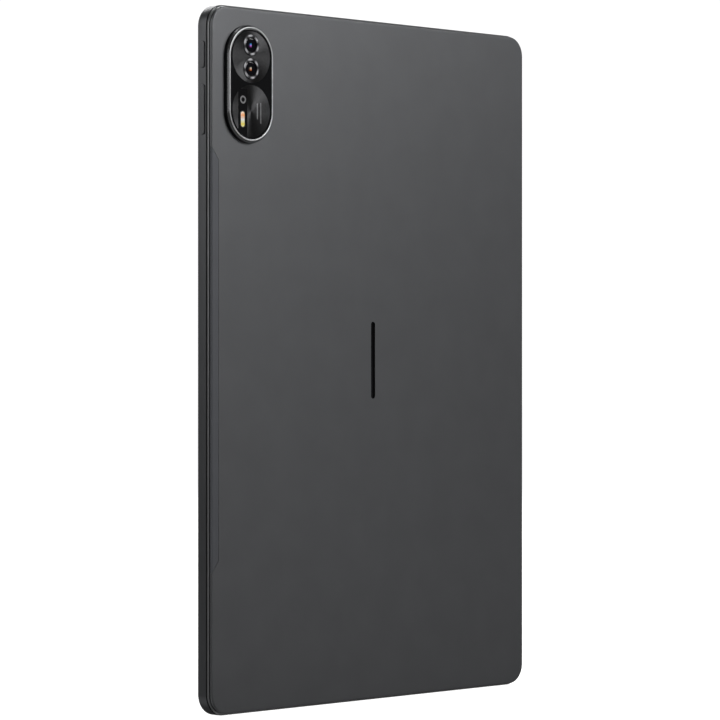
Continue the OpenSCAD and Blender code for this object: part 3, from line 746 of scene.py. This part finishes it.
def side_frame():
    """The machined frame, with its holes and slots."""
    step, ledge, wall = -3.9, -6.2, 2.0
    top, lip = FRAME_TOP, frame_lo.y
    obj = sweep("frame_ring", [
        (0.3, lip), (0.14, lip + 0.06), (0.04, lip + 0.16), (0, lip + 0.32), (0, FLAT_START),
        (0.35, FLAT_START), (0.35, top), (wall, top), (wall, step), (3.2, step), (3.2, ledge),
        (0.75, ledge), (0.75, lip)])
    port = middle("usb_c_shell")
    duct_w, holes, pitch = 17.0, 8, 2.0
    grille_x = box_mm("speaker_meshes")[1].x - duct_w / 2 + 0.1
    grilles = [(sx * grille_x, sz) for sx in (-1, 1) for sz in (-1, 1)]
    tools = []
    for across, sz in grilles:
        for k in range(holes):
            x = across + (k - (holes - 1) / 2) * pitch
            tools.append(loft("hole", [in_end(circle(0.55), sz * (EDGE_Z + 1), x, port.y),
                                       in_end(circle(0.55), sz * (EDGE_Z - 1.5), x, port.y)]))
    cut(obj, joined("holes", tools))
    tools = []
    for across, sz in grilles:
        zs = sorted((sz * (EDGE_Z - 1.4), sz * (EDGE_Z - 3.8)))
        tools.append(block("duct", (across - duct_w / 2, port.y - 1, zs[0]),
                           (across + duct_w / 2, -2.3, zs[1])))
    cut(obj, joined("ducts", tools))
    shell_lo, shell_hi = box_mm("usb_c_shell")
    half_h, half_w = (shell_hi.y - shell_lo.y) / 2 + 0.05, (shell_hi.x - shell_lo.x) / 2 + 0.05
    mouth = pill(half_h, half_w - half_h, 16)
    cut(obj, loft("mouth", [in_end(mouth, -EDGE_Z - 1, 0, port.y),
                            in_end(mouth, -EDGE_Z + 8, 0, port.y)]))
    for node in KEYS:
        lo, hi = box_mm(node)
        at = middle(node)
        slot = pill(0.9 + 0.12, (hi.z - lo.z - KEY_FLANGE) / 2 - 0.9, 16)
        cut(obj, loft("slot", [in_wall(slot, EDGE_X + 1, at.y, at.z),
                               in_wall(slot, EDGE_X - 4, at.y, at.z)]))
    lo, hi = box_mm("card_tray")
    at = middle("card_tray")
    door_half = (hi.z - lo.z) / 2
    door = pill((hi.y - lo.y) / 2 + 0.1, door_half - (hi.y - lo.y) / 2, 16)
    cut(obj, loft("door", [in_wall(door, -EDGE_X - 1, at.y, at.z),
                           in_wall(door, -EDGE_X + 4, at.y, at.z)]))
    tiny, tiny_y = circle(0.5), -3.35
    pin_z = at.z - door_half - 3.5
    cut(obj, loft("pin", [in_wall(tiny, -EDGE_X - 1, tiny_y, pin_z),
                          in_wall(tiny, -EDGE_X + 4, tiny_y, pin_z)]))
    for x, sz in ((12, -1), (-6, 1)):
        cut(obj, loft("mic", [in_end(tiny, sz * (EDGE_Z + 1), x, tiny_y),
                              in_end(tiny, sz * (EDGE_Z - 3), x, tiny_y)]))
    soften(obj, 0.07, 2)
    return stands_for(obj, "side_frame", mat="frame_metal")


def chamfer_ring():
    """The bright bevel between the frame and the cover."""
    obj = sweep("bright_bevel", [
        (0.05, RING_LO), (0.09, RING_LO + 0.14), (0.23, RING_LO + 0.36), (0.40, RING_HI - 0.08),
        (0.52, RING_HI), (1.95, RING_HI), (1.95, FRAME_TOP), (0.34, FRAME_TOP), (0.34, RING_LO)])
    return stands_for(obj, "chamfer_ring", mat="chamfer_metal")


def cover_solid(name):
    """The cover and its antenna strip in one piece, with a soft rim."""
    rim = [(0.65 + a, -b) for a, b in round_edge(0.45, 0.5, 8)]
    section = [(4.2, -0.6), (2.0, -0.6), (2.0, RIM_FOOT), (0.68, RIM_FOOT),
               (0.65, RIM_FOOT + 0.03)]
    section += rim + [(2.0, 0.0), (4.6, 0.0)]
    return loft(name, [flat(outline(i), y) for i, y in section])


def strip_prism(grow):
    """The antenna strip's outline as a tall prism, grown or shrunk, which widens to the edge."""
    inner = STRIP_LO.x - STRIP_GAP - grow
    half = STRAIGHT + grow / 2
    tip = half + 6.475 + grow / 2
    pts = [(inner, -half), (EDGE_X + 1, -tip), (EDGE_X + 1, tip), (inner, half)]
    return loft("prism", [flat(pts, -3), flat(pts, 3)])



def rear_cover():
    """The cover, cut out for the island and the strip, with a shallow bed for the emblem."""
    obj = cover_solid("back_panel")
    cut(obj, loft("hole", [flat(pill(SKIRT_R + 0.03, ISLAND_HALF, 36), y, (ISLAND.x, ISLAND.z))
                           for y in (-3, 3)]))
    cut(obj, strip_prism(STRIP_GAP))
    lo, hi = box_mm("rear_emblem")
    r = (hi.x - lo.x) / 2 + 0.02
    at = middle("rear_emblem")
    half = (hi.z - lo.z) / 2 - r + 0.02
    cut(obj, loft("bar", [flat(pill(r, half), y, (at.x, at.z)) for y in (-0.15, 1)]))
    return stands_for(obj, "rear_cover", mat="cover_metal")


def antenna_strip():
    obj = cover_solid("side_strip")
    cut(obj, strip_prism(-STRIP_GAP), "INTERSECT")
    return stands_for(obj, "antenna_strip", mat="strip_plastic")


def emblem():
    """The plain bar inlaid in the cover."""
    lo, hi = box_mm("rear_emblem")
    at = middle("rear_emblem")
    r = (hi.x - lo.x) / 2
    half = (hi.z - lo.z) / 2 - r
    obj = loft("inlay_bar", [flat(pill(r - d, half), y, (at.x, at.z))
                             for d, y in ((0, lo.y), (0, -0.06), (0.03, -0.03), (0.09, -0.02))])
    return stands_for(obj, "rear_emblem", mat="emblem_metal")


def camera_island():
    """The pill of the camera island: its skirt, bevelled ring, window and flash."""
    skirt_top = BEZEL_LO.y
    inner = WINDOW_R + 0.07
    seat, seat_r = WINDOW_LO.y, 9.4
    foot_r, foot_lo, foot_hi = SKIRT_R + 1.1, -1.0, -0.62
    skirt = island_sweep("island_skirt", [
        (seat_r, foot_lo), (foot_r, foot_lo), (foot_r, foot_hi), (SKIRT_R, foot_hi),
        (SKIRT_R, 0.0), (SKIRT_R - 0.03, 0.4), (SKIRT_R - 0.07, 0.8), (SKIRT_R - 0.12, skirt_top),
        (inner, skirt_top), (inner, seat), (seat_r, seat)])
    stands_for(skirt, "camera_skirt", mat="skirt_black")
    bezel = island_sweep("island_bezel", [
        (SKIRT_R - 0.13, skirt_top), (SKIRT_R - 0.18, skirt_top + 0.08),
        (SKIRT_R - 0.72, ISLAND_TOP - 0.08), (SKIRT_R - 0.77, ISLAND_TOP - 0.025),
        (SKIRT_R - 0.84, ISLAND_TOP), (inner + 0.12, ISLAND_TOP),
        (inner + 0.04, ISLAND_TOP - 0.03), (inner, ISLAND_TOP - 0.10), (inner, skirt_top)])
    stands_for(bezel, "camera_bezel", mat="bezel_metal")
    at = (ISLAND.x, ISLAND.z)
    rings = [(0, WINDOW_LO.y), (0, WINDOW_HI.y - 0.14), (0.03, WINDOW_HI.y - 0.06),
             (0.08, WINDOW_HI.y - 0.015), (0.16, WINDOW_HI.y), (0.6, WINDOW_HI.y)]
    window = loft("island_glass", [flat(pill(WINDOW_R - d, ISLAND_HALF, 36), y, at) for d, y in rings])
    for centre in LENSES.values():
        cut(window, lathe("bore", [(LENS_BORE, 0.5), (LENS_BORE, 3)], centre, closed=False))
    lo, hi = box_mm("flash_lens")
    r = (hi.x - lo.x) / 2
    half = (hi.z - lo.z) / 2 - r
    cut(window, loft("slot", [flat(pill(r + 0.03, half), y, (FLASH.x, FLASH.z)) for y in (0.5, 3)]))
    stands_for(window, "camera_window", mat="window_glass")
    flash = loft("flash_window", [flat(pill(r - d, half), y, (FLASH.x, FLASH.z)) for d, y in (
        (0, lo.y), (0, hi.y - 0.1), (0.04, hi.y - 0.03), (0.12, hi.y))])
    stands_for(flash, "flash_lens", mat="flash_plastic")


def lens(side):
    """One camera: the turned ring, its cover lens, and the stepped barrel behind it."""
    at = LENSES[side]
    lo, hi = box_mm("lens_ring_" + side)
    r = (hi.x - lo.x) / 2
    face = WINDOW_HI.y
    ring = lathe("lens_surround_" + side, [
        (LENS_R + 0.02, 0.9), (LENS_R + 0.02, hi.y - 0.22), (LENS_R + 0.06, hi.y - 0.12),
        (LENS_R + 0.16, hi.y - 0.03), (LENS_R + 0.28, hi.y), (r - 0.42, hi.y),
        (r - 0.28, hi.y - 0.02), (r - 0.08, face + 0.06), (r, face + 0.02), (r, face),
        (3.5, face), (3.5, 0.9)], at)
    stands_for(ring, "lens_ring_" + side, mat="lens_metal_" + side, slot="lens_metal")
    g_lo, g_hi = box_mm("lens_glass_" + side)
    rim = g_hi.y - 0.14
    dome = [(LENS_R * k, rim + (g_hi.y - rim) * (1 - k * k)) for k in (0.96, 0.8, 0.6, 0.4, 0.2, 0.01)]
    back = [(AXIS_R, g_lo.y), (LENS_R, g_lo.y), (LENS_R, rim - 0.02)]
    glass = lathe("lens_cover_" + side, back + dome, at, closed=False)
    stands_for(glass, "lens_glass_" + side, mat="lens_" + side, slot="lens_glass")
    node, outer = {"upper": ("rear_camera_main", 3.2), "lower": ("rear_camera_depth", 2.6)}[side]
    m_lo, m_hi = box_mm(node)
    steps = [(outer, m_hi.y), (outer - 0.3, m_hi.y)]
    for k in range(5):
        steps += [(outer - 0.5 - 0.3 * k, m_hi.y - 0.12 - 0.16 * k),
                  (outer - 0.62 - 0.3 * k, m_hi.y - 0.12 - 0.16 * k)]
    floor_y = m_hi.y - 1.0
    iris_r = outer - 2.0
    steps += [(iris_r, floor_y), (AXIS_R, floor_y), (AXIS_R, -0.5)]
    barrel = lathe("barrel", [(outer, -0.5)] + steps, at)
    base = block("base", m_lo, (m_hi.x, -0.4, m_hi.z))
    module = joined("camera_module_" + side, [barrel, base])
    stands_for(module, node, mat="module_black")
    iris = lathe("inner_lens_" + side, [(iris_r, floor_y), (iris_r, floor_y + 0.05)] + [
        (iris_r * k, floor_y + 0.05 + 0.35 * (1 - k * k)) for k in (0.9, 0.7, 0.5, 0.3, 0.1, 0.01)],
        at, closed=False)
    stands_for(iris, mat="iris", slot="lens_glass")


def key(node):
    """A key's soft-edged cap, the flange behind the wall and its plungers."""
    lo, hi = box_mm(node)
    at = middle(node)
    half_w = (hi.y - lo.y) / 2
    half_l = (hi.z - lo.z - KEY_FLANGE) / 2 - half_w
    crown = [(0.0, EDGE_X - 1.9), (0.0, hi.x - 0.24)]
    crown += [(a, hi.x - b) for a, b in round_edge(0.22, 0.22, 6)]
    crown += [(0.40, hi.x)]
    cap = loft("cap", [in_wall(pill(half_w - d, half_l, 16), x, at.y, at.z) for d, x in crown])
    flange = block("flange", (EDGE_X - 2.0, lo.y, lo.z), (EDGE_X - 1.75, hi.y, hi.z))
    stems = [0.0] if node == "power_key" else [-6.5, 6.5]
    posts = [loft("stem", [in_wall(pill(0.65, 0.3, 12), x, at.y, at.z + s)
                           for x in (lo.x, EDGE_X - 1.9)]) for s in stems]
    obj = joined(node + "_cap", [cap, flange] + posts)
    return stands_for(obj, node, mat="key_metal", body=node, slot="frame_metal")


def screen():
    """The cover glass with its softly rounded front edge."""
    hi = box_mm("screen_glass")[1]
    inset = EDGE_X - hi.x
    rounding = [(inset + a, GLASS_Y + b) for a, b in round_edge(0.45, 0.3, 6)]
    section = [(4.5, hi.y), (inset, hi.y)] + rounding + [(1.8, GLASS_Y), (5.0, GLASS_Y)]
    obj = loft("front_glass", [flat(outline(i), y) for i, y in section])
    return stands_for(obj, "screen_glass", mat="screen_glass")


def port_contacts():
    """Gold contacts on both faces of the port's tongue."""
    root = box_mm("usb_c_tongue")[0].z
    at = middle("usb_c_tongue")
    pads = []
    pins, pin_pitch = 12, 0.5
    for face in (-1, 1):
        for k in range(pins):
            x = (k - (pins - 1) / 2) * pin_pitch
            y = at.y + face * 0.36
            ys = sorted((y, y + face * 0.02))
            pads.append(block("pad", (x - 0.13, ys[0], root + 0.5), (x + 0.13, ys[1], root + 3.6)))
    return stands_for(joined("port_contacts", pads), mat="gold_contact")


side_frame()
chamfer_ring()
rear_cover()
antenna_strip()
emblem()
camera_island()
for which in LENSES:
    lens(which)
for which in KEYS:
    key(which)
screen()
port_contacts()
for name in ("card_tray", "usb_c_shell", "usb_c_tongue", "midframe_plate", "front_shield",
             "rear_shield", "key_bracket", "card_reader"):
    soften(frame["nodes"][name], 0.05)

# ---------------------------------------------------------------------- stage


def stage_floor():
    """A pale floor under the tablet, white to the eye, clear from below and to the lamps' light."""
    size = 6.0
    z = -EDGE_Z * MM
    mesh = bpy.data.meshes.new("floor")
    mesh.from_pydata([(-size, -size, z), (size, -size, z), (size, size, z), (-size, size, z)],
                     [], [(0, 1, 2, 3)])
    floor = bpy.data.objects.new("floor", mesh)
    scene.collection.objects.link(floor)
    mat = bpy.data.materials.new("floor")
    mat.use_nodes = True
    tree = mat.node_tree
    tree.nodes.remove(tree.nodes["Principled BSDF"])

    def shader(kind, color, strength=None):
        node = tree.nodes.new(kind)
        node.inputs["Color"].default_value = (*color, 1)
        if strength is not None:
            node.inputs["Strength"].default_value = strength
        return node.outputs[0]

    def switch(factor, a, b, kind="ShaderNodeMixShader"):
        node = tree.nodes.new(kind)
        if factor:
            tree.links.new(factor, node.inputs[0])
        tree.links.new(a, node.inputs[-2])
        tree.links.new(b, node.inputs[-1])
        return node.outputs[0]

    seen = switch(None, shader("ShaderNodeBsdfDiffuse", (0.85, 0.85, 0.85)),
                  shader("ShaderNodeEmission", (1, 1, 1), 1.0), "ShaderNodeAddShader")
    eye = tree.nodes.new("ShaderNodeLightPath").outputs["Is Camera Ray"]
    top = switch(eye, shader("ShaderNodeBsdfDiffuse", (0.16, 0.16, 0.16)), seen)
    under = tree.nodes.new("ShaderNodeNewGeometry").outputs["Backfacing"]
    clear = shader("ShaderNodeBsdfTransparent", (1, 1, 1))
    both = switch(under, top, clear)
    lamp = tree.nodes.new("ShaderNodeLightPath").outputs["Is Shadow Ray"]
    both = switch(lamp, both, clear)
    tree.links.new(both, tree.nodes["Material Output"].inputs[0])
    floor.data.materials.append(mat)


def area_light(name, at, target, size, power):
    """A square lamp of a size in metres and a power in watts, aimed at a target."""
    light = bpy.data.lights.new(name, "AREA")
    light.shape = "RECTANGLE"
    light.size, light.size_y = size, size
    light.energy = power
    obj = bpy.data.objects.new(name, light)
    obj.location = at
    obj.rotation_euler = (Vector(target) - Vector(at)).to_track_quat("-Z", "Y").to_euler()
    obj.visible_camera = False
    scene.collection.objects.link(obj)


def stage_world():
    """White to the eye, and nearly black to everything that reflects it."""
    reflected, seen = 0.03, 1.05
    world = bpy.data.worlds.new("studio")
    scene.world = world
    world.use_nodes = True
    tree = world.node_tree
    back = tree.nodes["Background"]
    path = tree.nodes.new("ShaderNodeLightPath")
    level = tree.nodes.new("ShaderNodeMapRange")
    level.inputs["To Min"].default_value = reflected
    level.inputs["To Max"].default_value = seen
    tree.links.new(path.outputs["Is Camera Ray"], level.inputs["Value"])
    tree.links.new(level.outputs[0], back.inputs["Strength"])
    back.inputs["Color"].default_value = (1, 1, 1, 1)


stage_floor()
stage_world()
MIDDLE = (0, 0, 0)
UPPER_BACK = (0.03, 0, 0.08)
area_light("back_key", (-0.62, 0.62, 0.42), MIDDLE, 0.2, 0.64)
area_light("back_near", (-0.15, 0.55, 0.35), UPPER_BACK, 0.3, 2.35)
area_light("back_low", (-0.35, 0.70, -0.15), MIDDLE, 0.4, 0.42)
area_light("back_fill", (1.0, 1.1, 0.5), MIDDLE, 0.4, 0.5)
area_light("edge", (1.3, 1.0, 0.25), MIDDLE, 0.4, 0.32)
area_light("side_low", (1.0, -0.9, 0.5), MIDDLE, 0.8, 2.5)
area_light("key_side", (1.25, -0.25, 0.40), MIDDLE, 0.5, 0.25)
area_light("tray_side", (-1.3, -0.35, 0.4), MIDDLE, 0.6, 2.0)
area_light("overhead", (0.1, -0.1, 1.4), MIDDLE, 0.5, 1.0)
area_light("under_front", (0.72, -1.0, -0.78), MIDDLE, 0.35, 0.9)
area_light("under", (-0.4, -0.25, -1.2), MIDDLE, 0.5, 1.4)
area_light("front", (-0.7, -1.2, 0.9), MIDDLE, 0.9, 8.0)

# --------------------------------------------------------------------- camera
camera = bpy.data.objects.new("camera", bpy.data.cameras.new("camera"))
scene.collection.objects.link(camera)
scene.camera = camera
camera.data.sensor_width = 36.0
camera.data.lens = 161.34
camera.data.clip_start = 0.05
camera.location = (0.87793, 0.84181, 0.00008)
camera.rotation_euler = Vector((-0.71856, -0.69547, 0)).to_track_quat("-Z", "Y").to_euler()
